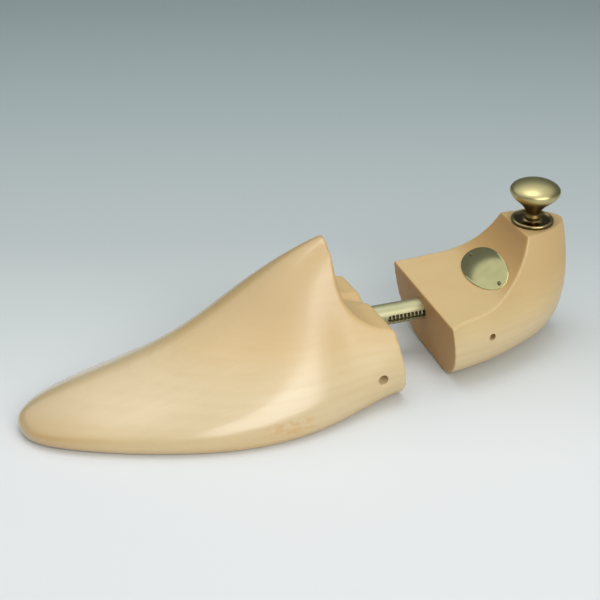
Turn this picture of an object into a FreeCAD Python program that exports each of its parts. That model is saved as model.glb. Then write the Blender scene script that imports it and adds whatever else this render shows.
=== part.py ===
import FreeCAD, Part
import math
import os
import Sketcher

# A wooden shoe tree for a left shoe, in millimetres, +Z up.
#
# A solid forepart and a solid heel block ride on one slotted brass tube with a spring inside.
# The tube is pinned in the forepart. The heel block slides on it against the spring, held and
# limited by its cross pin, which runs in the slot.
#
# Every sub-part is modelled in the tree's design frame: X runs from toe to heel along the tube
# and is 0 at the forepart's rear face, Y is 0 on the tube and negative on the outer side of the
# foot, and Z is 0 on the sole. A placement then puts the middle of the whole at the origin.

V = FreeCAD.Vector

# The driving dimensions, each one a cell of the sheet.
DIMENSIONS = {
    # Placement of the design frame in the part's frame.
    "place_x": 32.8,
    "place_y": 5.8,
    # Tube, slot and spring.
    "tube_height": 22.0,
    "tube_diameter": 10.0,
    "tube_bore": 8.4,
    "tube_front": -42.0,
    "tube_rear": 62.0,
    "slot_width": 3.5,
    "slot_front": 6.4,
    "slot_rear": 46.6,
    "gap": 25.0,
    "spring_front": -4.0,
    "spring_wire": 0.9,
    "spring_mean_diameter": 7.0,
    "spring_turns": 23.0,
    "spring_end_gap": 0.1,
    # Plugs and cross pins.
    "seat_front": -15.0,
    "follower_length": 8.4,
    "follower_diameter": 8.26,
    "front_pin_x": -9.6,
    "front_pin_diameter": 4.4,
    "front_pin_tilt": 10.6,
    "front_pin_near": 34.0,
    "rear_pin_set_back": 19.8,
    "rear_pin_diameter": 3.3,
    "rear_pin_near": 28.5,
    "pin_entry": 60.0,
    "pin_far_end": 18.0,
    # Faces of the saw cut between forepart and heel block.
    "cut_lean": 7.0,
    # Hollow behind the instep of the forepart.
    "peak_x": -21.3,
    "hollow_radius": 18.0,
    "hollow_x": -3.0,
    "hollow_height": 33.6,
    "shelf_fall": 0.6,
    # The forepart's saw cut stands a little askew: nearer the heel on the outer side.
    "cut_yaw": 4.6,
    "cut_set_back": 2.3,
    # Finger notch over the tube.
    "notch_diameter": 11.5,
    "notch_depth": 4.4,
    "notch_length": 12.0,
    # Hollow and top of the heel block, from its front face at tube height.
    "heel_front_height": 30.9,
    "heel_slope": 7.0,
    "heel_bend_x": 17.5,
    "heel_bend_radius": 33.0,
    "heel_bend_end": 71.0,
    "heel_bore_depth": 61.0,
    "heel_bore_diameter": 10.15,
    # Knob, rose and stud.
    "knob_set_back": 54.9,
    "knob_offset": 2.0,
    "rose_diameter": 19.8,
    "knob_diameter": 22.8,
    "knob_rise": 15.6,
    "dome_radius": 9.8,
    "dome_rise": 2.9,
    "stud_diameter": 4.0,
    "stud_depth": 14.0,
    "stud_rise": 9.0,
    # Oval plate on the hollow of the heel block, and its two pins.
    "plate_angle": 31.5,
    "plate_offset": -1.5,
    "plate_length": 35.0,
    "plate_width": 19.0,
    "plate_thickness": 0.7,
    "plate_pin_pitch": 29.0,
    "plate_pin_diameter": 1.7,
    "plate_pin_length": 6.0,
    "plate_pin_stand": 0.25,
}

# One row per cross-section of the wooden blocks. A section is a flat sole line closed by a
# smooth curve with nine control points, from the outer sole edge (y < 0) over the crown to the
# inner sole edge (y > 0). Half-widths are given as positive numbers.
COLUMNS = (
    "x", "sole_z",
    "out_sole", "out_edge", "out_wall", "out_wall_z", "out_shoulder", "out_shoulder_z",
    "crown_y", "crown_z",
    "in_shoulder", "in_shoulder_z", "in_wall", "in_wall_z", "in_edge", "in_sole",
)
FORE_SECTIONS = (
    (8.0, 0.0, 28.0, 35.0, 42.0, 17.0, 21.5, 41.0, 0.0, 96.0, 15.5, 40.0, 34.0, 16.0, 30.0, 24.0),
    (-10.0, 0.0, 32.0, 39.0, 44.5, 15.5, 20.8, 42.0, 0.0, 90.0, 15.5, 40.0, 36.0, 15.0, 33.0, 27.0),
    (-23.0, 0.0, 38.0, 44.0, 47.0, 14.0, 20.0, 42.0, 1.0, 82.5, 17.0, 40.0, 38.0, 14.0, 36.0, 31.0),
    (-40.0, 0.0, 45.0, 49.0, 51.5, 12.0, 25.0, 41.0, 2.0, 71.0, 22.0, 39.0, 40.0, 13.0, 38.0, 34.0),
    (-60.0, 0.0, 48.5, 51.5, 53.0, 11.0, 33.0, 31.0, 3.0, 56.0, 25.0, 31.0, 41.0, 11.0, 40.0, 36.5),
    (-80.0, 0.0, 47.5, 50.0, 51.5, 10.0, 34.0, 24.0, 2.0, 43.0, 22.0, 21.5, 38.5, 9.0, 38.0, 35.0),
    (-100.0, 0.0, 42.5, 45.5, 47.0, 9.0, 31.0, 18.5, 1.0, 31.5, 20.5, 15.5, 33.5, 8.0, 34.0, 31.0),
    (-120.0, 0.0, 35.5, 38.5, 40.0, 8.0, 26.5, 15.0, 0.0, 24.0, 17.0, 12.5, 28.0, 6.5, 28.5, 25.5),
    (-140.0, 0.0, 26.2, 29.6, 31.3, 7.0, 20.5, 12.0, -1.5, 18.4, 12.8, 10.0, 20.5, 5.5, 20.5, 18.0),
    (-153.0, 0.2, 18.4, 21.7, 23.5, 5.6, 15.6, 10.0, -2.5, 13.9, 7.0, 8.8, 12.3, 4.7, 12.3, 9.8),
    (-158.0, 0.5, 14.0, 17.0, 18.7, 5.0, 12.7, 8.9, -3.5, 11.4, 3.2, 8.0, 6.6, 4.4, 6.6, 4.6),
    (-161.0, 1.3, 9.6, 12.0, 13.2, 4.6, 9.6, 7.3, -4.2, 8.9, -0.4, 6.9, 1.2, 4.2, 0.6, -1.4),
    (-162.3, 2.6, 6.8, 8.0, 8.8, 4.4, 7.0, 6.0, -4.2, 6.5, -2.4, 5.8, -1.6, 4.2, -2.2, -3.2),
)
HEEL_SECTIONS = (
    (-8.0, 2.6, 23.0, 32.0, 38.5, 14.5, 34.5, 37.0, 0.0, 92.0, 32.0, 36.0, 32.0, 24.0, 22.0, 0.0),
    (3.0, 1.2, 22.5, 31.0, 38.5, 15.0, 33.5, 37.0, 0.0, 90.0, 31.0, 36.0, 32.0, 22.0, 23.5, 4.0),
    (14.0, 0.5, 20.0, 28.5, 38.0, 15.5, 31.0, 37.5, 0.0, 88.0, 29.5, 36.5, 32.0, 19.5, 25.0, 9.5),
    (25.0, 0.0, 17.5, 25.0, 37.0, 16.5, 27.0, 38.5, 0.5, 87.0, 26.5, 38.0, 32.0, 17.5, 26.0, 15.0),
    (35.0, 0.0, 14.5, 21.0, 35.0, 17.0, 21.5, 40.0, 1.0, 88.0, 23.0, 40.0, 31.5, 16.0, 25.5, 17.0),
    (44.0, 0.0, 11.0, 17.0, 32.0, 17.5, 18.0, 43.0, 2.0, 90.0, 21.0, 43.0, 30.0, 16.0, 24.0, 16.0),
    (52.0, 0.0, 8.0, 13.5, 27.5, 18.5, 16.5, 44.0, 2.5, 88.0, 20.0, 44.0, 27.0, 17.0, 20.0, 13.0),
    (59.3, 0.6, 4.5, 9.5, 21.5, 20.0, 14.5, 44.0, 3.0, 83.0, 17.5, 44.0, 22.0, 19.0, 15.0, 8.5),
    (65.0, 2.5, 2.5, 6.5, 16.0, 22.0, 11.5, 44.0, 3.0, 77.0, 14.0, 44.0, 16.5, 22.0, 10.0, 5.0),
    (69.3, 6.0, 1.0, 4.0, 10.0, 24.0, 8.0, 42.0, 2.5, 68.0, 10.5, 42.0, 11.0, 24.0, 7.0, 3.0),
    (71.9, 12.0, 0.5, 2.4, 5.5, 25.0, 5.0, 38.0, 2.0, 52.0, 7.5, 38.0, 7.5, 25.0, 5.0, 2.6),
)
EDGE_LIFT = 2.0
SOLE_ALLOWANCE = 0.5
HEEL_TOP = 57.0


doc = FreeCAD.newDocument("shoe_tree")
sheet = doc.addObject("Spreadsheet::Sheet", "Sheet")


def fill_sheet():
    """Writes every driving dimension and every section into the sheet, one alias to a cell."""
    rows = dict(DIMENSIONS)
    rows["edge_lift"] = EDGE_LIFT
    rows["sole_allowance"] = SOLE_ALLOWANCE
    rows["heel_top"] = HEEL_TOP
    for prefix, sections in (("fore", FORE_SECTIONS), ("heel", HEEL_SECTIONS)):
        for number, section in enumerate(sections):
            for column, value in zip(COLUMNS, section):
                rows[f"{prefix}_{number}_{column}"] = value
    for row, (alias, value) in enumerate(rows.items(), start=1):
        sheet.set(f"A{row}", alias)
        sheet.set(f"B{row}", str(value))
        sheet.setAlias(f"B{row}", alias)
    doc.recompute()


def size(expression):
    """The value of an expression such as 'Sheet.gap + 2'."""
    result = sheet.evalExpression(expression)
    return float(getattr(result, "Value", result))


def new_body(label, x="0", y="0", z="0"):
    """A body whose own origin stands at three expressions in the design frame."""
    body = doc.addObject("PartDesign::Body", label)
    body.Label = label
    body.setExpression("Placement.Base.x", f"Sheet.place_x + {x}")
    body.setExpression("Placement.Base.y", f"Sheet.place_y + {y}")
    body.setExpression("Placement.Base.z", z)
    return body


def new_sketch(body, name, role, offset="0"):
    """A sketch on one of the body's origin planes, moved along its normal by an expression."""
    sketch = body.newObject("Sketcher::SketchObject", name)
    plane = [feature for feature in body.Origin.OriginFeatures if feature.Role == role][0]
    sketch.AttachmentSupport = (plane, [""])
    sketch.MapMode = "FlatFace"
    sketch.setExpression("AttachmentOffset.Base.z", offset)
    return sketch


def fix(sketch, geometry, end, across, up):
    """Puts one point of a sketch at two expressions, measured from the sketch's origin."""
    for kind, expression in (("DistanceX", across), ("DistanceY", up)):
        number = sketch.addConstraint(
            Sketcher.Constraint(kind, -1, 1, geometry, end, size(expression))
        )
        sketch.setExpression(f"Constraints[{number}]", expression)


def add_circle(sketch, across, up, diameter):
    """A circle at two expressions, of a diameter given as an expression."""
    centre = V(size(across), size(up), 0)
    circle = sketch.addGeometry(Part.Circle(centre, V(0, 0, 1), size(diameter) / 2), False)
    fix(sketch, circle, 3, across, up)
    number = sketch.addConstraint(Sketcher.Constraint("Diameter", circle, size(diameter)))
    sketch.setExpression(f"Constraints[{number}]", diameter)


def add_outline(sketch, steps):
    """A closed outline. Each step is a corner (across, up), or a corner with the radius of the
    arc that leads to it; a positive radius turns left, a negative one turns right."""
    corners = [V(size(step[0]), size(step[1]), 0) for step in steps]
    edges = []
    for number, step in enumerate(steps):
        start, stop = corners[number - 1], corners[number]
        if len(step) == 2:
            edges.append(sketch.addGeometry(Part.LineSegment(start, stop), False))
            continue
        radius = size(step[2])
        chord = stop.sub(start)
        side = V(-chord.y, chord.x, 0).normalize()
        reach = math.sqrt(radius ** 2 - (chord.Length / 2) ** 2)
        centre = (start + stop) * 0.5 + side * math.copysign(reach, radius)
        middle = centre - side * radius
        edges.append(sketch.addGeometry(Part.Arc(start, middle, stop), False))
    for number, step in enumerate(steps):
        edge, following = edges[number], edges[(number + 1) % len(edges)]
        turned = len(step) == 3 and size(step[2]) < 0
        next_step = steps[(number + 1) % len(steps)]
        next_turned = len(next_step) == 3 and size(next_step[2]) < 0
        end = 1 if turned else 2
        sketch.addConstraint(
            Sketcher.Constraint("Coincident", edge, end, following, 2 if next_turned else 1)
        )
        fix(sketch, edge, end, step[0], step[1])
        if len(step) == 3:
            bend = sketch.addConstraint(Sketcher.Constraint("Radius", edge, abs(size(step[2]))))
            sketch.setExpression(f"Constraints[{bend}]", f"abs({step[2]})")


def pad(body, sketch, length, both_ways=False):
    """A pad of a sketch, with its length given as an expression."""
    feature = body.newObject("PartDesign::Pad", sketch.Name + "_pad")
    feature.Profile = sketch
    feature.setExpression("Length", length)
    feature.SideType = "Symmetric" if both_ways else "One side"
    return feature


def pocket(body, sketch, length, both_ways=False, reverse=False):
    """A pocket of a sketch, checked to take material away."""
    doc.recompute()
    before = body.Shape.Volume
    feature = body.newObject("PartDesign::Pocket", sketch.Name + "_pocket")
    feature.Profile = sketch
    feature.setExpression("Length", length)
    feature.SideType = "Symmetric" if both_ways else "One side"
    feature.Reversed = reverse
    doc.recompute()
    if body.Shape.Volume > before - 0.01:
        raise RuntimeError(feature.Name + " cuts nothing")
    return feature


def revolve(body, sketch, axis):
    """A full revolution of a sketch about one of its own axes."""
    feature = body.newObject("PartDesign::Revolution", sketch.Name + "_turned")
    feature.Profile = sketch
    feature.ReferenceAxis = (sketch, [axis])
    feature.Angle = 360
    return feature


def section_points(prefix, number):
    """The nine control points of one section, as pairs of expressions."""
    def cell(column):
        return f"Sheet.{prefix}_{number}_{column}"

    rough_sole = f"{cell('sole_z')} - Sheet.sole_allowance"
    edge_height = f"{cell('sole_z')} + Sheet.edge_lift"
    return (
        (f"-{cell('out_sole')}", rough_sole),
        (f"-{cell('out_edge')}", edge_height),
        (f"-{cell('out_wall')}", cell("out_wall_z")),
        (f"-{cell('out_shoulder')}", cell("out_shoulder_z")),
        (cell("crown_y"), cell("crown_z")),
        (cell("in_shoulder"), cell("in_shoulder_z")),
        (cell("in_wall"), cell("in_wall_z")),
        (cell("in_edge"), edge_height),
        (cell("in_sole"), rough_sole),
    )


def section_sketch(body, prefix, number):
    """One cross-section: a cubic spline through nine control points, closed by the sole line."""
    sketch = new_sketch(
        body, f"{prefix}_section_{number}", "YZ_Plane", f"Sheet.{prefix}_{number}_x"
    )
    points = section_points(prefix, number)
    poles = [V(size(across), size(up), 0) for across, up in points]
    curve = Part.BSplineCurve()
    curve.buildFromPoles(poles, False, 3)
    spline = sketch.addGeometry(curve, False)
    sole = sketch.addGeometry(Part.LineSegment(poles[-1], poles[0]), False)
    first = None
    for index, (across, up) in enumerate(points):
        handle = sketch.addGeometry(Part.Circle(poles[index], V(0, 0, 1), 1), True)
        sketch.addConstraint(
            Sketcher.Constraint(
                "InternalAlignment:Sketcher::BSplineControlPoint", handle, 3, spline, index
            )
        )
        if first is None:
            first = handle
            sketch.addConstraint(Sketcher.Constraint("Weight", handle, 1.0))
        else:
            sketch.addConstraint(Sketcher.Constraint("Equal", first, handle))
        fix(sketch, handle, 3, across, up)
    sketch.addConstraint(Sketcher.Constraint("Coincident", sole, 1, spline, 2))
    sketch.addConstraint(Sketcher.Constraint("Coincident", sole, 2, spline, 1))
    return sketch


def carve(body, prefix, count):
    """The rough block: a smooth loft through its sections."""
    sections = [section_sketch(body, prefix, number) for number in range(count)]
    doc.recompute()
    loft = body.newObject("PartDesign::AdditiveLoft", f"{prefix}_loft")
    loft.Profile = sections[0]
    loft.Sections = [(sketch, [""]) for sketch in sections[1:]]
    loft.Ruled = False
    doc.recompute()


def flatten_sole(body, prefix):
    """Planes the sole flat at Z = 0."""
    below = new_sketch(body, f"{prefix}_sole_plane", "XY_Plane")
    add_outline(below, (("-200", "-80"), ("200", "-80"), ("200", "80"), ("-200", "80")))
    pocket(body, below, "20")


def face_x(height):
    """X of the leaning saw cut at a height, from where it crosses the tube's axis."""
    return f"(Sheet.tube_height - ({height})) * tan(Sheet.cut_lean)"


def cross_cylinder(body, name, diameter, x, tilt, near, far):
    """A cylinder through the tube's axis at x, across the tree and tilted up to the inside. It
    reaches from near (outer side) to far (inner side), both measured from the tube's axis."""
    kind = "Additive" if body.Tip is None else "Subtractive"
    cylinder = body.newObject(f"PartDesign::{kind}Cylinder", name)
    cylinder.setExpression("Radius", f"{diameter} / 2")
    cylinder.setExpression("Height", f"{far} - ({near})")
    cylinder.Placement = FreeCAD.Placement(V(0, 0, 0), FreeCAD.Rotation(V(-1, 0, 0), 90))
    cylinder.setExpression("Placement.Rotation.Angle", f"90 - {tilt}")
    cylinder.setExpression("Placement.Base.x", x)
    cylinder.setExpression("Placement.Base.y", f"({near}) * cos({tilt})")
    cylinder.setExpression("Placement.Base.z", f"Sheet.tube_height + ({near}) * sin({tilt})")
    return cylinder


def front_pin_cylinder(body, name, near, far):
    return cross_cylinder(
        body, name, "Sheet.front_pin_diameter", "Sheet.front_pin_x", "Sheet.front_pin_tilt",
        near, far,
    )


def rear_pin_cylinder(body, name, near, far):
    return cross_cylinder(
        body, name, "Sheet.rear_pin_diameter", "Sheet.rear_pin_set_back", "0", near, far
    )


def make_forepart():
    body = new_body("forepart")
    carve(body, "fore", len(FORE_SECTIONS))
    flatten_sole(body, "fore")
    # The hollow behind the peak and the sawn rear face, cut across a little askew.
    hollow = new_sketch(body, "fore_hollow", "XZ_Plane")
    hollow.AttachmentOffset = FreeCAD.Placement(V(0, 0, 0), FreeCAD.Rotation(V(0, 1, 0), 1))
    hollow.setExpression("AttachmentOffset.Rotation.Angle", "Sheet.cut_yaw")
    hollow.setExpression("AttachmentOffset.Base.x", "-Sheet.cut_set_back")
    shelf_end = "Sheet.hollow_height - Sheet.shelf_fall"
    add_outline(
        hollow,
        (
            ("Sheet.peak_x", "120"),
            ("Sheet.hollow_x - Sheet.hollow_radius", "Sheet.hollow_height + Sheet.hollow_radius"),
            ("Sheet.hollow_x", "Sheet.hollow_height", "Sheet.hollow_radius"),
            (face_x(shelf_end), shelf_end),
            (face_x("-5"), "-5"),
            ("60", "-5"),
            ("60", "120"),
        ),
    )
    pocket(body, hollow, "200", both_ways=True)
    # The finger notch: a slanted trough in the shelf, deepest at the rear face.
    notch = body.newObject("PartDesign::SubtractiveCylinder", "finger_notch")
    notch.setExpression("Radius", "Sheet.notch_diameter / 2")
    notch.setExpression("Height", "4 * Sheet.notch_length")
    notch.Placement = FreeCAD.Placement(V(0, 0, 0), FreeCAD.Rotation(V(0, -1, 0), 90))
    slant = "atan(Sheet.notch_depth / Sheet.notch_length)"
    notch.setExpression("Placement.Rotation.Angle", f"90 deg - {slant}")
    notch.setExpression("Placement.Base.x", "2 * Sheet.notch_length")
    notch.setExpression(
        "Placement.Base.z",
        "Sheet.hollow_height - 3 * Sheet.notch_depth + Sheet.notch_diameter / 2",
    )
    bore = new_sketch(body, "fore_bore", "YZ_Plane", "Sheet.tube_front")
    add_circle(bore, "0", "Sheet.tube_height", "Sheet.tube_diameter")
    pocket(body, bore, "100", reverse=True)
    front_pin_cylinder(body, "front_pin_hole", "-Sheet.pin_entry", "Sheet.pin_far_end")
    return body


BEND_HEIGHT = (
    f"(Sheet.heel_front_height + (Sheet.heel_bend_x - {face_x('Sheet.heel_front_height')})"
    " * tan(Sheet.heel_slope))"
)


def bend_x(angle, inward="0"):
    """X on the bend of the heel block's hollow where its slope is an angle. A positive inward
    moves the point off the wood, towards the bend's centre."""
    return (
        f"(Sheet.heel_bend_x + (Sheet.heel_bend_radius - {inward}) * sin({angle})"
        " - Sheet.heel_bend_radius * sin(Sheet.heel_slope))"
    )


def bend_z(angle, inward="0"):
    return (
        f"({BEND_HEIGHT} + Sheet.heel_bend_radius * cos(Sheet.heel_slope)"
        f" - (Sheet.heel_bend_radius - {inward}) * cos({angle}))"
    )


def make_heel_block():
    body = new_body("heel_block", x="Sheet.gap")
    carve(body, "heel", len(HEEL_SECTIONS))
    flatten_sole(body, "heel")
    # The sawn front face, the hollow that rises to the top, and the flat top under the knob.
    hollow = new_sketch(body, "heel_hollow", "XZ_Plane")
    end = "Sheet.heel_bend_end"
    add_outline(
        hollow,
        (
            ("-40", "-5"),
            (face_x("-5"), "-5"),
            (face_x("Sheet.heel_front_height"), "Sheet.heel_front_height"),
            ("Sheet.heel_bend_x", BEND_HEIGHT),
            (bend_x(end), bend_z(end), "Sheet.heel_bend_radius"),
            (f"{bend_x(end)} + (Sheet.heel_top - {bend_z(end)}) / tan({end})", "Sheet.heel_top"),
            ("120", "Sheet.heel_top"),
            ("120", "130"),
            ("-40", "130"),
        ),
    )
    pocket(body, hollow, "200", both_ways=True)
    bore = new_sketch(body, "heel_bore", "YZ_Plane", "-10")
    add_circle(bore, "0", "Sheet.tube_height", "Sheet.heel_bore_diameter")
    pocket(body, bore, "Sheet.heel_bore_depth + 10", reverse=True)
    rear_pin_cylinder(body, "rear_pin_hole", "-Sheet.pin_entry", "Sheet.pin_far_end")
    stud_hole = new_sketch(body, "heel_stud_hole", "XY_Plane", "Sheet.heel_top")
    add_circle(stud_hole, "Sheet.knob_set_back", "Sheet.knob_offset", "Sheet.stud_diameter")
    pocket(body, stud_hole, "Sheet.stud_depth")
    plate_holes = plate_sketch(body, "heel_plate_holes", "0")
    add_plate_circles(plate_holes, "Sheet.plate_pin_diameter")
    pocket(body, plate_holes, "Sheet.plate_pin_length")
    return body


def plate_sketch(body, name, height):
    """A sketch in the plane that touches the hollow where the oval plate lies, or above it."""
    sketch = new_sketch(body, name, "XY_Plane")
    sketch.AttachmentOffset = FreeCAD.Placement(V(0, 0, 0), FreeCAD.Rotation(V(0, -1, 0), 1))
    sketch.setExpression("AttachmentOffset.Rotation.Angle", "Sheet.plate_angle")
    sketch.setExpression("AttachmentOffset.Base.x", bend_x("Sheet.plate_angle", height))
    sketch.setExpression("AttachmentOffset.Base.y", "Sheet.plate_offset")
    sketch.setExpression("AttachmentOffset.Base.z", bend_z("Sheet.plate_angle", height))
    return sketch


def add_plate_circles(sketch, diameter):
    for side in ("", "-"):
        add_circle(sketch, "0", f"{side}Sheet.plate_pin_pitch / 2", diameter)


def make_tube():
    body = new_body("slotted_tube")
    ring = new_sketch(body, "tube_ring", "YZ_Plane", "Sheet.tube_front")
    add_circle(ring, "0", "Sheet.tube_height", "Sheet.tube_diameter")
    add_circle(ring, "0", "Sheet.tube_height", "Sheet.tube_bore")
    pad(body, ring, "Sheet.tube_rear - Sheet.tube_front")
    slot = new_sketch(body, "tube_slot", "XZ_Plane")
    half = "Sheet.slot_width / 2"
    top, bottom = f"Sheet.tube_height + {half}", f"Sheet.tube_height - {half}"
    front, rear = f"Sheet.slot_front + {half}", f"Sheet.slot_rear - {half}"
    add_outline(
        slot,
        (
            (rear, bottom),
            ("Sheet.slot_rear", "Sheet.tube_height", half),
            (rear, top, half),
            (front, top),
            ("Sheet.slot_front", "Sheet.tube_height", half),
            (front, bottom, half),
        ),
    )
    pocket(body, slot, "30", both_ways=True)
    front_pin_cylinder(body, "tube_pin_hole", "-20", "20")
    return body


def make_seat():
    body = new_body("spring_seat")
    disc = new_sketch(body, "seat_disc", "YZ_Plane", "Sheet.seat_front")
    add_circle(disc, "0", "Sheet.tube_height", "Sheet.tube_bore")
    pad(body, disc, "Sheet.spring_front - Sheet.seat_front")
    front_pin_cylinder(body, "seat_pin_hole", "-20", "20")
    return body


def make_follower():
    body = new_body("spring_follower", x="Sheet.gap")
    front = "Sheet.rear_pin_set_back - Sheet.follower_length / 2"
    disc = new_sketch(body, "follower_disc", "YZ_Plane", front)
    add_circle(disc, "0", "Sheet.tube_height", "Sheet.follower_diameter")
    pad(body, disc, "Sheet.follower_length")
    rear_pin_cylinder(body, "follower_pin_hole", "-20", "20")
    return body


def make_front_pin():
    body = new_body("forepart_cross_pin")
    front_pin_cylinder(body, "front_pin", "-Sheet.front_pin_near", "Sheet.pin_far_end")
    return body


def make_rear_pin():
    body = new_body("heel_cross_pin", x="Sheet.gap")
    rear_pin_cylinder(body, "rear_pin", "-Sheet.rear_pin_near", "Sheet.pin_far_end")
    return body


def make_spring():
    """The compression spring, wound about the tube's axis between seat and follower."""
    body = new_body("compression_spring", z="Sheet.tube_height")
    wire = new_sketch(body, "spring_wire_section", "XZ_Plane")
    start = "Sheet.spring_front + Sheet.spring_wire / 2 + Sheet.spring_end_gap"
    add_circle(wire, start, "Sheet.spring_mean_diameter / 2", "Sheet.spring_wire")
    coils = body.newObject("PartDesign::AdditiveHelix", "spring_coils")
    coils.Profile = wire
    coils.ReferenceAxis = (wire, ["H_Axis"])
    coils.Mode = "height-turns-angle"
    coils.setExpression(
        "Height",
        "Sheet.gap + Sheet.rear_pin_set_back - Sheet.follower_length / 2"
        " - Sheet.spring_front - Sheet.spring_wire - 2 * Sheet.spring_end_gap",
    )
    coils.setExpression("Turns", "Sheet.spring_turns")
    return body


def knob_body(label):
    return new_body(
        label, x="Sheet.gap + Sheet.knob_set_back", y="Sheet.knob_offset", z="Sheet.heel_top"
    )


def make_rose():
    """The turned rose under the knob: a rounded rim, a sunk ring and a raised seat."""
    body = knob_body("knob_rose")
    half = new_sketch(body, "rose_half", "XZ_Plane")
    rim = "Sheet.rose_diameter / 2"
    add_outline(
        half,
        (
            ("Sheet.stud_diameter / 2", "0"),
            (rim, "0"),
            (rim, "0.6"),
            (f"{rim} - 1.3", "1.7", "1.5"),
            (f"{rim} - 2.2", "1.1"),
            ("5.4", "1.1"),
            ("4.3", "2.2"),
            ("Sheet.stud_diameter / 2", "2.2"),
        ),
    )
    revolve(body, half, "V_Axis")
    return body


def make_knob():
    """The turned knob: a bead, a waisted neck and a flattened mushroom cap."""
    body = knob_body("knob")
    half = new_sketch(body, "knob_half", "XZ_Plane")
    rim = "Sheet.knob_diameter / 2"
    # The radius that puts the dome's centre on the knob's axis.
    dome = "(Sheet.dome_radius ^ 2 + Sheet.dome_rise ^ 2) / (2 * Sheet.dome_rise)"
    add_outline(
        half,
        (
            ("Sheet.stud_diameter / 2", "2.2"),
            ("3.6", "2.2"),
            ("3.9", "3.7", "0.85"),
            ("3.4", "5.0"),
            ("7.4", "11.2", "-9.0"),
            (rim, "Sheet.knob_rise", "8.0"),
            ("Sheet.dome_radius", "Sheet.knob_rise + 2.0", "2.2"),
            ("0", "Sheet.knob_rise + 2.0 + Sheet.dome_rise", dome),
            ("0", "Sheet.stud_rise"),
            ("Sheet.stud_diameter / 2", "Sheet.stud_rise"),
        ),
    )
    revolve(body, half, "V_Axis")
    return body


def make_stud():
    """The stud that holds knob and rose on the heel block."""
    body = knob_body("knob_stud")
    disc = new_sketch(body, "stud_disc", "XY_Plane", "-Sheet.stud_depth")
    add_circle(disc, "0", "0", "Sheet.stud_diameter")
    pad(body, disc, "Sheet.stud_depth + Sheet.stud_rise")
    return body


def make_plate():
    """The oval plate, bent to the hollow: a bent strip trimmed to an oval."""
    body = new_body("oval_plate", x="Sheet.gap")
    strip = new_sketch(body, "plate_strip", "XZ_Plane")
    reach = "45 * Sheet.plate_width / Sheet.heel_bend_radius"
    low, high = f"(Sheet.plate_angle - {reach})", f"(Sheet.plate_angle + {reach})"
    thick = "Sheet.plate_thickness"
    add_outline(
        strip,
        (
            (bend_x(low), bend_z(low)),
            (bend_x(high), bend_z(high), "Sheet.heel_bend_radius"),
            (bend_x(high, thick), bend_z(high, thick)),
            (bend_x(low, thick), bend_z(low, thick), f"-(Sheet.heel_bend_radius - {thick})"),
        ),
    )
    pad(body, strip, "Sheet.plate_length + 8", both_ways=True)
    trim = plate_sketch(body, "plate_trim", "0")
    add_outline(trim, (("-30", "-30"), ("30", "-30"), ("30", "30"), ("-30", "30")))
    add_ellipse(trim, "Sheet.plate_length", "Sheet.plate_width")
    pocket(body, trim, "60", both_ways=True)
    holes = plate_sketch(body, "plate_holes", "0")
    add_plate_circles(holes, "Sheet.plate_pin_diameter")
    pocket(body, holes, "10", both_ways=True)
    return body


def add_ellipse(sketch, length, width):
    """An ellipse about the sketch's origin, long axis upright, axes given as expressions."""
    half_length, half_width = size(length) / 2, size(width) / 2
    ellipse = Part.Ellipse(V(0, half_length, 0), V(-half_width, 0, 0), V(0, 0, 0))
    curve = sketch.addGeometry(ellipse, False)
    fix(sketch, curve, 3, "0", "0")
    sketch.exposeInternalGeometry(curve)
    for axis, expression, direction in ((curve + 1, length, "Vertical"), (curve + 2, width, "")):
        if direction:
            sketch.addConstraint(Sketcher.Constraint(direction, axis))
        number = sketch.addConstraint(Sketcher.Constraint("Distance", axis, size(expression)))
        sketch.setExpression(f"Constraints[{number}]", expression)


def make_plate_pins():
    """The two small round-headed pins of the oval plate, as one group."""
    body = new_body("oval_plate_pins", x="Sheet.gap")
    shanks = plate_sketch(body, "pin_shanks", "0")
    add_plate_circles(shanks, "Sheet.plate_pin_diameter")
    feature = pad(body, shanks, "Sheet.plate_pin_length")
    feature.Reversed = True
    heads = plate_sketch(body, "pin_heads", "0")
    add_plate_circles(heads, "Sheet.plate_pin_diameter")
    pad(body, heads, "Sheet.plate_thickness + Sheet.plate_pin_stand")
    return body


def save(bodies):
    """Checks every object and every shape, and writes one STEP file for each body."""
    doc.recompute()
    for item in doc.Objects:
        if "Invalid" in item.State or "Error" in item.State:
            raise RuntimeError(f"{item.Name} is {item.State}")
    os.makedirs("parts", exist_ok=True)
    for body in bodies:
        shape = body.Shape
        if shape.isNull() or not shape.isValid() or not shape.Solids:
            raise RuntimeError(body.Label + " has no valid solid")
        shape.exportStep(f"parts/{body.Label}.step")
        box = shape.BoundBox
        print(
            f"{body.Label}: {len(shape.Solids)} solid(s), {shape.Volume:.0f} mm3,"
            f" x {box.XMin:.1f}..{box.XMax:.1f}, y {box.YMin:.1f}..{box.YMax:.1f},"
            f" z {box.ZMin:.1f}..{box.ZMax:.1f}"
        )


fill_sheet()
save(
    [
        make_forepart(),
        make_heel_block(),
        make_tube(),
        make_seat(),
        make_follower(),
        make_front_pin(),
        make_rear_pin(),
        make_spring(),
        make_rose(),
        make_knob(),
        make_stud(),
        make_plate(),
        make_plate_pins(),
    ]
)
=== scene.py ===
import math

import bmesh
import bpy
from mathutils import Matrix, Vector


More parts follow.
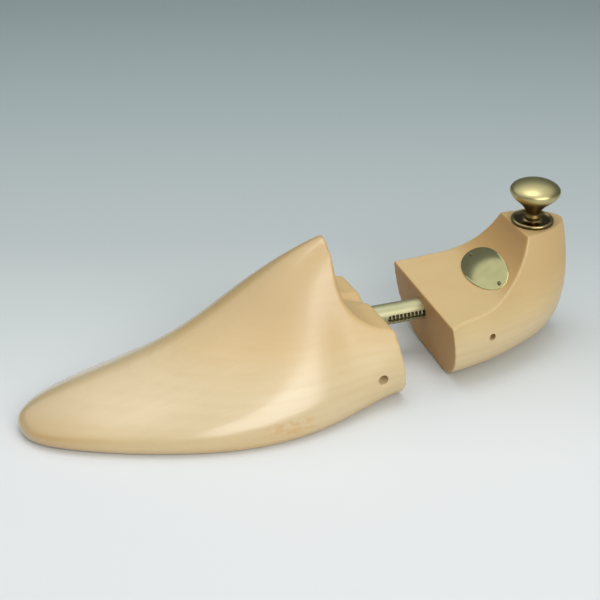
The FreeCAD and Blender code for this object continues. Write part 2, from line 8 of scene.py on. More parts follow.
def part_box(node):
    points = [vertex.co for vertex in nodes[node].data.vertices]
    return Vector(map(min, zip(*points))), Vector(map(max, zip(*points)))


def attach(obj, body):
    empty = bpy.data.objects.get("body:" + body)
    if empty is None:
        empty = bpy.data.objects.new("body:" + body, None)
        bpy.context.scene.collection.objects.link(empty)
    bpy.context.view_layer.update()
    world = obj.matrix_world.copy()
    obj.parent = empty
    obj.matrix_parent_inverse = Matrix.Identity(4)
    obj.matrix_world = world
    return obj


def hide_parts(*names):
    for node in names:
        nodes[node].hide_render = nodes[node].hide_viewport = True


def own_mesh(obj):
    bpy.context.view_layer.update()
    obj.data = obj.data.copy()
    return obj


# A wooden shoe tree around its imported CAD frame. Everything is in metres, in the CAD's frame.

MM = 0.001

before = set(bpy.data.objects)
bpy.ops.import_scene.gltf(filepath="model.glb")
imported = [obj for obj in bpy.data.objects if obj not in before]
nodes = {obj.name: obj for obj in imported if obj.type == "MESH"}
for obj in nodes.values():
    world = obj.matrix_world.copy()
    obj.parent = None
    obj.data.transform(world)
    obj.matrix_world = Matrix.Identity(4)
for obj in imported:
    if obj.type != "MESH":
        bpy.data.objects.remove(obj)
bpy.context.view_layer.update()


def centre_of(node):
    """The middle of a CAD node's box."""
    low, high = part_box(node)
    return (low + high) / 2


TUBE = centre_of("slotted_tube")
KNOB = centre_of("knob_stud")
PLATE = centre_of("oval_plate")
HEEL_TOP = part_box("heel_block")[1].z
# How far the tip of the toe is from the origin.
TOE_REACH = -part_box("forepart")[0].x


# ---------------------------------------------------------------- materials


class Shader:
    """One procedural material: a Principled shader and short calls that add nodes to it."""

    def __init__(self, name, roughness, metallic=0.0, **constants):
        self.material = bpy.data.materials.new(name)
        self.material.use_nodes = True
        self.tree = self.material.node_tree
        self.surface = self.tree.nodes["Principled BSDF"]
        self.set("Roughness", roughness)
        self.set("Metallic", metallic)
        for socket, value in constants.items():
            self.set(socket.replace("_", " "), value)
        coordinates = self.add("ShaderNodeTexCoord")
        self.place = coordinates.outputs["Object"]
        self.normal = coordinates.outputs["Normal"]

    def add(self, kind, **settings):
        """A new node with its settings."""
        node = self.tree.nodes.new(kind)
        for key, value in settings.items():
            setattr(node, key, value)
        return node

    def set(self, socket, value):
        """Sets one input of the surface to a number, a colour or another node's output."""
        if isinstance(value, bpy.types.NodeSocket):
            self.tree.links.new(value, self.surface.inputs[socket])
        else:
            self.surface.inputs[socket].default_value = value

    def link(self, source, node, socket):
        """Gives an input of any node a value, or another node's output."""
        if isinstance(source, bpy.types.NodeSocket):
            self.tree.links.new(source, node.inputs[socket])
        else:
            node.inputs[socket].default_value = source

    def stretched(self, scale, turn=(0.0, 0.0, 0.0)):
        """The object's coordinates, turned by some degrees and scaled along each axis."""
        mapping = self.add("ShaderNodeMapping")
        mapping.inputs["Scale"].default_value = scale
        mapping.inputs["Rotation"].default_value = [math.radians(angle) for angle in turn]
        self.link(self.place, mapping, "Vector")
        return mapping.outputs["Vector"]

    def split(self, vector):
        """A vector's X, Y and Z."""
        node = self.add("ShaderNodeSeparateXYZ")
        self.link(vector, node, "Vector")
        return node.outputs["X"], node.outputs["Y"], node.outputs["Z"]

    def share(self, value, low, high):
        """How far a value has come from low to high, from 0 to 1."""
        node = self.add("ShaderNodeMapRange")
        self.link(value, node, "Value")
        self.link(low, node, "From Min")
        self.link(high, node, "From Max")
        return node.outputs["Result"]

    def noise(self, scale, detail=2.0, roughness=0.5, turn=(0.0, 0.0, 0.0)):
        """Soft random grey, as many spots to the metre as the scale says."""
        node = self.add("ShaderNodeTexNoise")
        self.link(self.stretched(scale, turn), node, "Vector")
        node.inputs["Scale"].default_value = 1.0
        node.inputs["Detail"].default_value = detail
        node.inputs["Roughness"].default_value = roughness
        return node.outputs["Fac"]

    def bands(self, scale, distortion, detail_scale, turn=(0.0, 0.0, 0.0)):
        """Growth rings cut lengthwise: wavy bands across Z."""
        node = self.add("ShaderNodeTexWave", wave_type="BANDS", bands_direction="Z")
        self.link(self.stretched(scale, turn), node, "Vector")
        node.inputs["Scale"].default_value = 1.0
        node.inputs["Distortion"].default_value = distortion
        node.inputs["Detail"].default_value = 2.0
        node.inputs["Detail Scale"].default_value = detail_scale
        return node.outputs["Fac"]

    def ramp(self, value, *stops):
        """A colour ramp. Each stop is a place and a grey value or a colour."""
        node = self.add("ShaderNodeValToRGB")
        elements = node.color_ramp.elements
        while len(elements) < len(stops):
            elements.new(0.5)
        for element, (place, colour) in zip(elements, stops):
            element.position = place
            rgb = colour if isinstance(colour, tuple) else (colour, colour, colour)
            element.color = (*rgb, 1.0)
        self.link(value, node, "Fac")
        return node.outputs["Color"]

    def mix(self, amount, first, second, blend="MIX"):
        """The first colour, and as much of the second as the amount says."""
        node = self.add("ShaderNodeMix", data_type="RGBA", blend_type=blend)
        self.link(amount, node, 0)
        for index, colour in ((6, first), (7, second)):
            if isinstance(colour, tuple):
                colour = (*colour, 1.0)
            self.link(colour, node, index)
        return node.outputs[2]

    def math(self, operation, first, second):
        """One step of arithmetic on two numbers."""
        node = self.add("ShaderNodeMath", operation=operation)
        self.link(first, node, 0)
        self.link(second, node, 1)
        return node.outputs["Value"]

    def bump(self, height, strength, distance):
        """Fine relief on the surface, distance in metres."""
        node = self.add("ShaderNodeBump")
        node.inputs["Strength"].default_value = strength
        node.inputs["Distance"].default_value = distance
        self.link(height, node, "Height")
        self.set("Normal", node.outputs["Normal"])


MAPLE_TONES = (
    (0.30, (0.640, 0.418, 0.172)),
    (0.50, (0.640, 0.450, 0.198)),
    (0.70, (0.640, 0.475, 0.222)),
)
# The paler colour low down is a painted sheen, standing for the lacquer's broad highlight.
MAPLE_PAINTED_SHEEN = (0.675, 0.530, 0.300)
# The darker crown colour is partly the wood's orange tone and partly painted shade on the top.
MAPLE_CROWN_TONE_AND_SHADE = (0.560, 0.375, 0.150)
MAPLE_RING = (0.560, 0.345, 0.130)
MAPLE_GRAIN = (0.550, 0.350, 0.140)
MAPLE_FLECK = (0.420, 0.260, 0.110)
MAPLE_SAWN = ((0.60, (0.490, 0.260, 0.055)), (0.95, (0.420, 0.210, 0.050)))
# The toe is darkened by painted shade, where less light reaches that end.
TOE_PAINTED_SHADE = (0.83, 0.80, 0.74)
STAIN_COLOUR = (0.620, 0.330, 0.085)
# The painted sheen low down and the crown's darker tone with painted shade lie by height, this
# far up, with edges this wavy.
HEIGHT_BANDS_REACH = 80.0 * MM
HEIGHT_BANDS_WAVE = 20.0 * MM


def stained(shader, colour, middle, size):
    """The colour with a natural orange mark about a point, as large as the size along each axis."""
    nearby = shader.add("ShaderNodeMapping")
    nearby.inputs["Scale"].default_value = [1 / side for side in size]
    nearby.inputs["Location"].default_value = [-at / side for at, side in zip(middle, size)]
    shader.link(shader.place, nearby, "Vector")
    distance = shader.add("ShaderNodeVectorMath", operation="LENGTH")
    shader.link(nearby.outputs["Vector"], distance, 0)
    inside = shader.ramp(distance.outputs["Value"], (0.30, 1.0), (1.0, 0.0))
    blotch = shader.noise((220.0, 220.0, 420.0), detail=4.0, roughness=0.65)
    amount = shader.math("MULTIPLY", inside, shader.ramp(blotch, (0.42, 0.0), (0.60, 0.75)))
    return shader.mix(amount, colour, STAIN_COLOUR)


def wood(name, sawn_side, sawn, turn=(0.0, 0.0, 0.0), stain=None):
    """Maple under a satin lacquer: soft lengthwise grain, fine flecks, a painted sheen that makes it
    paler low down, a crown darker partly in the wood's own tone and partly by painted shade, a toe
    darkened by painted shade, and darker sawn faces. sawn_side is the sign of the X that those
    faces look along, and sawn gives their depth of colour as (part of the normal along X, amount).
    turn is the grain's, in degrees, and a stain is (middle, size along each axis)."""
    shader = Shader(name, 0.42, Specular_IOR_Level=0.85, Coat_Roughness=0.20, Coat_IOR=1.55)
    tone = shader.noise((5.0, 16.0, 16.0), turn=turn)
    rings = shader.bands((3.0, 20.0, 80.0), 7.0, 1.1, turn=turn)
    grain = shader.noise((12.0, 330.0, 330.0), detail=5.0, roughness=0.6, turn=turn)
    flecks = shader.noise((160.0, 1800.0, 1800.0), turn=turn)
    x, _, z = shader.split(shader.place)
    wavy = shader.math("ADD", z, shader.math("MULTIPLY", tone, HEIGHT_BANDS_WAVE))
    height = shader.share(wavy, 0.0, HEIGHT_BANDS_REACH)
    along = shader.share(x, -TOE_REACH, TOE_REACH)
    facing, _, _ = shader.split(shader.normal)
    end = shader.math("MULTIPLY", facing, sawn_side)

    # Painted sheen: paler low down.
    pale = shader.ramp(height, (0.16, 0.05), (0.27, 0.85), (0.40, 0.70), (0.52, 0.0))
    # Partly the wood's tone, partly painted shade: darker on the crown.
    crown = shader.ramp(height, (0.50, 0.0), (0.66, 0.90))
    # Painted shade: darker towards the toe.
    toe = shader.ramp(along, (0.025, 1.0), (0.13, 0.0))
    depth = shader.ramp(end, *sawn)
    colour = shader.ramp(tone, *MAPLE_TONES)
    colour = shader.mix(pale, colour, MAPLE_PAINTED_SHEEN)
    colour = shader.mix(crown, colour, MAPLE_CROWN_TONE_AND_SHADE)
    colour = shader.mix(toe, colour, TOE_PAINTED_SHADE, "MULTIPLY")
    colour = shader.mix(shader.ramp(rings, (0.45, 0.0), (1.0, 0.10)), colour, MAPLE_RING)
    colour = shader.mix(shader.ramp(grain, (0.42, 0.0), (0.72, 0.16)), colour, MAPLE_GRAIN)
    colour = shader.mix(shader.ramp(flecks, (0.64, 0.0), (0.74, 0.10)), colour, MAPLE_FLECK)
    colour = shader.mix(depth, colour, shader.ramp(end, *MAPLE_SAWN))
    if stain:
        colour = stained(shader, colour, *stain)
    shader.set("Base Color", colour)

    # The lacquer is worn thin on the heel and by the forepart's rear rim, and hardly covers
    # the sawn faces.
    flat = shader.ramp(end, (0.90, 0.0), (0.97, 1.0))
    worn = shader.ramp(along, (0.49, 0.0), (0.56, 0.62))
    bare = shader.math("MAXIMUM", shader.math("MAXIMUM", depth, flat), worn)
    satin = shader.ramp(grain, (0.3, 0.38), (0.7, 0.48))
    matt = shader.ramp(bare, (0.0, 0.0), (0.62, 0.60), (1.0, 0.75))
    shader.set("Roughness", shader.math("MAXIMUM", satin, matt))
    shader.set("Coat Weight", shader.ramp(bare, (0.0, 1.0), (0.62, 0.30), (1.0, 0.15)))
    shader.bump(shader.mix(0.5, grain, flecks), 0.06, 0.06 * MM)
    return shader.material


def metal(name, dark, light, roughness, wear=60.0, dark_below=None):
    """A metal with a soft tarnish, wear spots of it to the metre, and fine marks. It may be darker
    below a height, given as (colour, full height, clear height): that colour covers what is below
    the first height, and fades out up to the second."""
    shader = Shader(name, roughness, metallic=1.0)
    tarnish = shader.noise((wear, wear, wear))
    marks = shader.noise((2500.0, 2500.0, 2500.0))
    colour = shader.ramp(tarnish, (0.30, dark), (0.70, light))
    if dark_below:
        deep, low, high = dark_below
        _, _, height = shader.split(shader.place)
        colour = shader.mix(shader.share(height, low, high), deep, colour)
    shader.set("Base Color", colour)
    shader.set("Roughness", shader.ramp(marks, (0.3, roughness - 0.02), (0.7, roughness + 0.02)))
    shader.bump(marks, 0.02, 0.01 * MM)
    return shader.material


SAWN_FAINTLY = ((0.80, 0.0), (0.97, 0.35))
SAWN_DEEPLY = ((0.36, 0.0), (0.58, 0.62), (0.90, 0.62), (0.97, 0.80))
# The mark is low on the forepart's outer side.
FORE_STAIN = ((-22.0 * MM, -44.0 * MM, 8.0 * MM), (17.0 * MM, 9.0 * MM, 4.5 * MM))

fore_wood = wood("maple_forepart", 1.0, SAWN_FAINTLY, stain=FORE_STAIN)
heel_wood = wood("maple_heel", -1.0, SAWN_DEEPLY, turn=(25.0, 3.0, 4.0))
dowel_wood = wood("beech_dowel", 1.0, SAWN_FAINTLY, turn=(0.0, 0.0, 90.0))
tube_brass = metal("brass_polished", (0.47, 0.450, 0.27), (0.53, 0.505, 0.31), 0.50)
# The knob is darker below a height: on its neck and under its cap.
knob_brass = metal(
    "brass_antique",
    (0.53, 0.462, 0.225),
    (0.59, 0.520, 0.265),
    0.36,
    dark_below=((0.21, 0.140, 0.048), HEEL_TOP + 11.0 * MM, HEEL_TOP + 14.2 * MM),
)
# The rose is darker below a height: in its dish and low on its outer wall.
rose_brass = metal(
    "brass_antique_dark",
    (0.36, 0.280, 0.120),
    (0.44, 0.350, 0.155),
    0.27,
    wear=150.0,
    dark_below=((0.090, 0.060, 0.020), HEEL_TOP + 1.0 * MM, HEEL_TOP + 1.4 * MM),
)
plate_brass = metal("brass_plate", (0.52, 0.485, 0.235), (0.60, 0.560, 0.28), 0.10, wear=120.0)
spring_steel = metal("spring_wire", (0.74, 0.70, 0.50), (0.84, 0.80, 0.60), 0.32)
dark_steel = metal("pin_steel", (0.22, 0.19, 0.13), (0.34, 0.30, 0.21), 0.40)


# ------------------------------------------------------------------- pieces


def finish_piece(piece, body, material, replaced):
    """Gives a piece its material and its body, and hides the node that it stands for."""
    piece.data.materials.clear()
    piece.data.materials.append(material)
    piece.data.polygons.foreach_set("use_smooth", [True] * len(piece.data.polygons))
    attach(piece, body)
    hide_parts(replaced)


def new_piece(name, mesh):
    """An object in the scene that holds the mesh."""
    piece = bpy.data.objects.new(name, mesh)
    bpy.context.scene.collection.objects.link(piece)
    return piece


def bake_modifiers(piece):
    """Applies the piece's modifiers to its mesh."""
    bpy.context.view_layer.update()
    graph = bpy.context.evaluated_depsgraph_get()
    mesh = bpy.data.meshes.new_from_object(piece.evaluated_get(graph))
    piece.modifiers.clear()
    piece.data = mesh


WELD = 0.001 * MM
# A point nearer than this to a hole's wall is on it.
ON_WALL = 0.02 * MM
SHARP_ANGLE = math.radians(30)


def off_axis(point, hole):
    """How far a point is from a hole's axis. A hole is (start, end, radius)."""
    start, end, _ = hole
    along = (end - start).normalized()
    return (point - start).cross(along).length


def without_holes(name, mesh, holes):
    """The mesh with the walls of its round holes taken away and their mouths closed."""
    shape = bmesh.new()
    shape.from_mesh(mesh)
    bmesh.ops.remove_doubles(shape, verts=shape.verts, dist=WELD)
    walls = []
    for hole in holes:
        on_wall = {
            vertex for vertex in shape.verts if abs(off_axis(vertex.co, hole) - hole[2]) < ON_WALL
        }
        walls += [face for face in shape.faces if on_wall.issuperset(face.verts)]
    bmesh.ops.delete(shape, geom=list(set(walls)), context="FACES")
    mouths = [edge for edge in shape.edges if edge.is_boundary]
    bmesh.ops.holes_fill(shape, edges=mouths, sides=0)
    whole = bpy.data.meshes.new(name)
    shape.to_mesh(whole)
    shape.free()
    return whole


def drill(piece, hole):
    """Cuts one round hole with a crisp rim."""
    start, end, radius = hole
    along = end - start
    shape = bmesh.new()
    upright = along.to_track_quat("Z", "Y").to_matrix().to_4x4()
    bmesh.ops.create_cone(
        shape,
        cap_ends=True,
        segments=64,
        radius1=radius,
        radius2=radius,
        depth=along.length,
        matrix=Matrix.Translation((start + end) / 2) @ upright,
    )
    bit_mesh = bpy.data.meshes.new("bit")
    shape.to_mesh(bit_mesh)
    shape.free()
    bit = new_piece("bit", bit_mesh)
    cut = piece.modifiers.new("drill", "BOOLEAN")
    cut.operation = "DIFFERENCE"
    cut.solver = "EXACT"
    cut.object = bit
    bake_modifiers(piece)
    bpy.data.objects.remove(bit)
    shape = bmesh.new()
    shape.from_mesh(piece.data)
    for edge in shape.edges:
        on_rim = all(abs(off_axis(vertex.co, hole) - radius) < ON_WALL for vertex in edge.verts)
        if on_rim and edge.calc_face_angle(0.0) > SHARP_ANGLE:
            edge.smooth = False
    shape.to_mesh(piece.data)
    shape.free()


def smooth(piece, rounds, group=""):
    """Sands the whole piece, or the part of it that a vertex group marks."""
    sanding = piece.modifiers.new("sand", "SMOOTH")
    sanding.factor = 0.5
    sanding.iterations = rounds
    sanding.vertex_group = group
    bake_modifiers(piece)


def sanded(name, node, holes, voxel, rounds):
    """A copy of a CAD block, remeshed and sanded so that its sawn edges are softly rounded. Its
    round holes are closed, and wait to be drilled again."""
    piece = new_piece(name, without_holes(name, nodes[node].data, holes))
    remesh = piece.modifiers.new("even", "REMESH")
    remesh.mode = "VOXEL"
    remesh.voxel_size = voxel
    smooth(piece, rounds)
    return piece


# The heel's back is sanded round from this far before its end. The rounding comes in over a
# distance, and stays this far under the flat top and above the sole.
BACK_LENGTH = 12.0 * MM
BACK_FADE = 8.0 * MM
TOP_MARGIN, TOP_FADE = 4.0 * MM, 6.0 * MM
SOLE_MARGIN, SOLE_FADE = 3.0 * MM, 4.0 * MM
BACK_ROUNDS = 140


def round_back(piece, start):
    """Sands a heel block's back round, behind an X."""
    back = piece.vertex_groups.new(name="back")
    for vertex in piece.data.vertices:
        behind = (vertex.co.x - start) / BACK_FADE
        under = (HEEL_TOP - TOP_MARGIN - vertex.co.z) / TOP_FADE
        above = (vertex.co.z - SOLE_MARGIN) / SOLE_FADE
        weight = min(1.0, behind, under, above)
        if weight > 0.0:
            back.add([vertex.index], weight, "REPLACE")
    smooth(piece, BACK_ROUNDS, back.name)


def pin_hole(node, radius, reach=60.0 * MM):
    """The hole that a cross pin sits in, through the whole block: reach each way."""
    points = sorted((vertex.co for vertex in nodes[node].data.vertices), key=lambda point: point.y)
    half = len(points) // 2
    near = sum(points[:half], Vector()) / half
    far = sum(points[-half:], Vector()) / half
    along = (far - near).normalized() * reach
    middle = (near + far) / 2
    return middle - along, middle + along, radius


def lathe(name, profile, centre, steps=96, levels=1):
    """A turned piece: a profile of (radius, height) in millimetres about an upright axis, subdivided
    that many levels."""
    shape = bmesh.new()
    rings = []
    for radius, height in profile:
        if radius == 0.0:
            rings.append([shape.verts.new((0.0, 0.0, height * MM))])
            continue
        ring = []
        for step in range(steps):
            angle = 2 * math.pi * step / steps
            ring.append(
                shape.verts.new(
                    (radius * MM * math.cos(angle), radius * MM * math.sin(angle), height * MM)
                )
            )
        rings.append(ring)
    for lower, upper in zip(rings, rings[1:]):
        for step in range(steps):
            after = (step + 1) % steps
            corners = []
            for ring, index in ((lower, step), (lower, after), (upper, after), (upper, step)):
                vertex = ring[index if len(ring) > 1 else 0]
                if vertex not in corners:
                    corners.append(vertex)
            shape.faces.new(corners)
    bmesh.ops.recalc_face_normals(shape, faces=shape.faces)
    mesh = bpy.data.meshes.new(name)
    shape.to_mesh(mesh)
    shape.free()
    mesh.transform(Matrix.Translation(centre))
    piece = new_piece(name, mesh)
    subdivide = piece.modifiers.new("round", "SUBSURF")
    subdivide.levels = levels
    subdivide.render_levels = levels
    bake_modifiers(piece)
    return piece


FORE_BORE_RADIUS = 5.0 * MM
HEEL_BORE_RADIUS = 5.075 * MM
FORE_PIN_RADIUS = 2.2 * MM
HEEL_PIN_RADIUS = 1.65 * MM
HEEL_BORE_DEPTH = 61.0 * MM
# How far a bore's cutter stands out of the block.
PAST = 20.0 * MM


def tube_bore(start, end, radius):
    """A hole about the tube, from one X to another."""
    return Vector((start, TUBE.y, TUBE.z)), Vector((end, TUBE.y, TUBE.z)), radius


tube_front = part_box("slotted_tube")[0].x
fore_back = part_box("forepart")[1].x
heel_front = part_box("heel_block")[0].x
heel_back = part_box("heel_block")[1].x
fore_holes = (
    tube_bore(tube_front, fore_back + PAST, FORE_BORE_RADIUS),
    pin_hole("forepart_cross_pin", FORE_PIN_RADIUS),
)
heel_holes = (
    tube_bore(heel_front - PAST, heel_front + HEEL_BORE_DEPTH, HEEL_BORE_RADIUS),
    pin_hole("heel_cross_pin", HEEL_PIN_RADIUS),
)
fore = sanded("forepart_sanded", "forepart", fore_holes, voxel=0.9 * MM, rounds=12)
heel = sanded("heel_block_sanded", "heel_block", heel_holes, voxel=0.6 * MM, rounds=5)
round_back(heel, heel_back - BACK_LENGTH)
for block, holes in ((fore, fore_holes), (heel, heel_holes)):
    for hole in holes:
        drill(block, hole)
finish_piece(fore, "forepart", fore_wood, "forepart")
finish_piece(heel, "heel", heel_wood, "heel_block")

# Half profiles as (radius, height above the rose's foot), in millimetres.
ROSE_PROFILE = (
    (2.1, 0.02),
    (9.3, 0.02),
    (9.8, 0.15),
    (9.95, 0.65),
    (9.85, 1.30),
    (9.45, 1.80),
    (8.9, 1.92),
    (8.45, 1.70),
    (8.1, 1.25),
    (7.7, 0.95),
    (7.0, 0.85),
    (6.0, 0.80),
    (5.0, 0.90),
    (4.3, 1.25),
    (3.9, 1.70),
    (3.5, 1.85),
    (2.1, 1.85),
)
KNOB_PROFILE = (
    (2.1, 1.90),
    (3.5, 1.90),
    (3.85, 2.1),
    (4.1, 2.6),
    (4.1, 3.1),
    (3.8, 3.6),
    (3.45, 3.9),
    (3.3, 4.4),
    (3.5, 5.5),
    (4.3, 7.0),
    (5.5, 8.5),
    (7.0, 9.9),
    (8.6, 11.3),
    (10.1, 12.7),
    (11.1, 14.0),
    (11.6, 15.3),
    (11.5, 16.2),
    (10.9, 17.2),
    (9.5, 18.2),
    (7.4, 19.2),
    (4.9, 19.95),
    (2.4, 20.35),
    (0.0, 20.45),
)
knob_foot = Vector((KNOB.x, KNOB.y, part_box("knob_rose")[0].z))
rose = lathe("rose_turned", ROSE_PROFILE, knob_foot)
finish_piece(rose, "heel", rose_brass, "knob_rose")
knob = lathe("knob_turned", KNOB_PROFILE, knob_foot)
finish_piece(knob, "heel", knob_brass, "knob")


def coil(name, turns, wire, mean, start, end, around, sides=10, per_turn=36):
    """A spring of round wire from one X to another, as a mesh tube whose ends are closed. mean is
    its diameter at the middle of the wire."""
    shape = bmesh.new()
    count = int(turns * per_turn)
    rings = []
    for number in range(count + 1):
        share = number / count
        angle = 2 * math.pi * turns * share
        place = start + wire / 2 + (end - start - wire) * share
        outward = Vector((0.0, math.cos(angle), math.sin(angle)))
        middle = Vector((place, around.y, around.z)) + outward * mean / 2
        ring = []
        for side in range(sides):
            turn = 2 * math.pi * side / sides
            offset = outward * math.cos(turn) + Vector((1.0, 0.0, 0.0)) * math.sin(turn)
            ring.append(shape.verts.new(middle + offset * wire / 2))
        rings.append(ring)
    for before, after in zip(rings, rings[1:]):
        for side in range(sides):
            following = (side + 1) % sides
            shape.faces.new((before[side], before[following], after[following], after[side]))
    shape.faces.new(rings[0])
    shape.faces.new(list(reversed(rings[-1])))
    bmesh.ops.recalc_face_normals(shape, faces=shape.faces)
    mesh = bpy.data.meshes.new(name)
    shape.to_mesh(mesh)
    shape.free()
    return new_piece(name, mesh)


SPRING_TURNS = 23
SPRING_WIRE = 0.9 * MM
SPRING_MEAN = 7.0 * MM
spring_low, spring_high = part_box("compression_spring")
spring = coil(
    "spring_wound", SPRING_TURNS, SPRING_WIRE, SPRING_MEAN, spring_low.x, spring_high.x, TUBE
)
finish_piece(spring, "forepart", spring_steel, "compression_spring")
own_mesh(spring)

PLATE_BEND = 33.0 * MM
PLATE_ANGLE = math.radians(31.5)
PLATE_HALF_WIDTH = 9.5 * MM
PLATE_HALF_LENGTH = 17.5 * MM
PLATE_THICKNESS = 0.7 * MM
PLATE_CROWN = 0.5 * MM
# The plate's rim, from under it to over it, as (part of the oval, part of the thickness).
PLATE_RIM = ((0.99, 0.0), (1.0, 0.12), (1.0, 0.62), (0.992, 0.90))
PLATE_FLAT = 0.975


def oval_plate(name, steps=96, rows=16):
    """The oval plate: bent to the hollow, a little thinner towards its tips, with a soft rim."""
    low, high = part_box("oval_plate")
    reach = math.asin(PLATE_HALF_WIDTH / PLATE_BEND)
    axis_x = high.x - PLATE_BEND * math.sin(PLATE_ANGLE + reach)
    axis_z = low.z + PLATE_BEND * math.cos(PLATE_ANGLE - reach)

    def place(across, along, rise):
        """A point of the plate, that far over its underside."""
        angle = PLATE_ANGLE + math.asin(across / PLATE_BEND)
        radius = PLATE_BEND - rise
        return (
            axis_x + radius * math.sin(angle),
            PLATE.y + along,
            axis_z - radius * math.cos(angle),
        )

    shares = [row / rows for row in range(1, rows)]
    outline = [(share, 0.0) for share in shares]
    outline += [*PLATE_RIM, (PLATE_FLAT, 1.0)]
    outline += [(PLATE_FLAT * share, 1.0) for share in reversed(shares)]
    shape = bmesh.new()
    rings = []
    for share, full in outline:
        ring = []
        for step in range(steps):
            turn = 2 * math.pi * step / steps
            across = PLATE_HALF_WIDTH * share * math.cos(turn)
            along = PLATE_HALF_LENGTH * share * math.sin(turn)
            crown = PLATE_CROWN * (along / PLATE_HALF_LENGTH) ** 2
            ring.append(shape.verts.new(place(across, along, full * (PLATE_THICKNESS - crown))))
        rings.append(ring)
    top, bottom = (shape.verts.new(place(0.0, 0.0, rise)) for rise in (PLATE_THICKNESS, 0.0))
    for outer, inner in zip(rings, rings[1:]):
        for step in range(steps):
            after = (step + 1) % steps
            shape.faces.new((outer[step], outer[after], inner[after], inner[step]))
    for ring, middle in ((rings[0], bottom), (rings[-1], top)):
        for step in range(steps):
            shape.faces.new((ring[step], ring[(step + 1) % steps], middle))
    bmesh.ops.recalc_face_normals(shape, faces=shape.faces)
    mesh = bpy.data.meshes.new(name)
    shape.to_mesh(mesh)
    shape.free()
    return new_piece(name, mesh)


plate = oval_plate("plate_bent")
finish_piece(plate, "heel", plate_brass, "oval_plate")

CAD_FINISHES = {
    "slotted_tube": tube_brass,
    "spring_seat": dark_steel,
    "spring_follower": dark_steel,
    "forepart_cross_pin": dowel_wood,
    "heel_cross_pin": dark_steel,
    "knob_stud": dark_steel,
    "oval_plate_pins": dark_steel,
}
for name, material in CAD_FINISHES.items():
    node = nodes[name]
    node.data.materials.clear()
    node.data.materials.append(material)


# ------------------------------------------------------- floor, light, camera


# Where the camera stands, and the direction that it looks along.
CAMERA_PLACE = Vector((-0.15187, -0.43022, 0.31150))
CAMERA_LOOK = Vector((0.28036, 0.81291, -0.51047))

# The floor is this far under the soles.
FLOOR_GAP = 0.05 * MM

# The paper's colour is painted darker away from the key light, as painted shade: a heading in
# degrees from +Y, and its brightness along it as (metres from the middle, grey).
PAPER_HEADING = 19.0
PAPER_PAINTED_SHADE = (
    (-0.30, 0.75),
    (-0.06, 0.76),
    (0.05, 0.62),
    (0.13, 0.52),
    (0.30, 0.44),
    (0.55, 0.34),
    (1.00, 0.26),
)
# The painted shade turns colder over this stretch, by this part of its red, green and blue.
PAPER_COLD = (-0.1, 0.4)
PAPER_TINT = (-0.16, 0.01, 0.02)


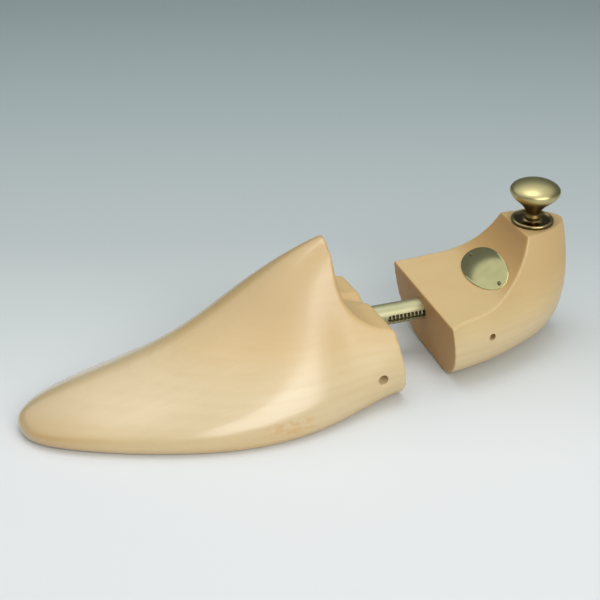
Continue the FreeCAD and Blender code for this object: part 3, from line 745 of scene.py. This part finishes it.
def studio_floor(flat=1.3, bend=1.0, steps=96, rows=14):
    """A round floor, pale in the middle and painted darker away from the key light as painted shade,
    flat that far out, whose rim curves up into a backdrop all round.
    """
    shape = bmesh.new()
    rings = []
    for row in range(rows + 1):
        angle = math.radians(90) * row / rows
        reach = flat + bend * math.sin(angle)
        height = bend * (1 - math.cos(angle)) - FLOOR_GAP
        ring = []
        for step in range(steps):
            turn = 2 * math.pi * step / steps
            ring.append(shape.verts.new((reach * math.cos(turn), reach * math.sin(turn), height)))
        rings.append(ring)
    shape.faces.new(rings[0])
    for inner, outer in zip(rings, rings[1:]):
        for step in range(steps):
            after = (step + 1) % steps
            shape.faces.new((inner[step], outer[step], outer[after], inner[after]))
    mesh = bpy.data.meshes.new("floor")
    shape.to_mesh(mesh)
    shape.free()
    mesh.polygons.foreach_set("use_smooth", [True] * len(mesh.polygons))
    floor = new_piece("floor", mesh)
    shader = Shader("floor_paper_painted_shade", 0.80)
    near, far = PAPER_PAINTED_SHADE[0][0], PAPER_PAINTED_SHADE[-1][0]
    _, along, _ = shader.split(shader.stretched((1.0, 1.0, 1.0), (0.0, 0.0, PAPER_HEADING)))
    stops = []
    for place, grey in PAPER_PAINTED_SHADE:
        cold = min(1.0, max(0.0, (place - PAPER_COLD[0]) / (PAPER_COLD[1] - PAPER_COLD[0])))
        colour = tuple(grey * (1 + tint * cold) for tint in PAPER_TINT)
        stops.append(((place - near) / (far - near), colour))
    # Painted shade: the floor's colour darkens and turns colder along the heading.
    shader.set("Base Color", shader.ramp(shader.share(along, near, far), *stops))
    mesh.materials.append(shader.material)


def softbox(name, place, aim, size, radiance, colour=(1.0, 1.0, 1.0), turn=0.0):
    """A rectangular soft light of a given brightness, which faces a point and is turned about
    the upright by some degrees."""
    light = bpy.data.lights.new(name, "AREA")
    light.shape = "RECTANGLE"
    light.size, light.size_y = size
    light.energy = radiance * math.pi * size[0] * size[1]
    light.color = colour
    lamp = bpy.data.objects.new(name, light)
    bpy.context.scene.collection.objects.link(lamp)
    lamp.location = place
    facing = (Vector(aim) - Vector(place)).to_track_quat("-Z", "Y")
    turned = Matrix.Rotation(math.radians(turn), 3, "Z") @ facing.to_matrix()
    lamp.rotation_euler = turned.to_euler()
    lamp.visible_camera = False


studio_floor()
softbox("key", (0.20, -1.24, 0.82), (0.0, 0.0, 0.0), (1.35, 0.80), 3.5, (1.0, 0.99, 0.97))
softbox("ceiling", (0.0, 0.12, 1.0), (0.0, 0.12, 0.0), (0.60, 0.50), 2.4, (1.0, 1.0, 0.99), -20.0)
# The overhead light ends, as the plate reflects it, across the plate's middle.
softbox("overhead", (-0.38, 0.27, 0.90), (-0.38, 0.27, 0.0), (2.6, 1.8), 0.68, (0.98, 1.0, 1.0), -25.0)

world = bpy.data.worlds.new("studio")
world.use_nodes = True
background = world.node_tree.nodes["Background"]
background.inputs["Color"].default_value = (0.86, 0.95, 1.0, 1.0)
background.inputs["Strength"].default_value = 0.22
bpy.context.scene.world = world
bpy.context.scene.view_settings.view_transform = "Standard"

camera_data = bpy.data.cameras.new("camera")
camera_data.sensor_width = 36.0
camera_data.lens = 72.69
camera_data.dof.use_dof = False
camera_data.clip_start = 0.01
camera = bpy.data.objects.new("camera", camera_data)
bpy.context.scene.collection.objects.link(camera)
camera.location = CAMERA_PLACE
camera.rotation_euler = CAMERA_LOOK.to_track_quat("-Z", "Y").to_euler()
bpy.context.scene.camera = camera
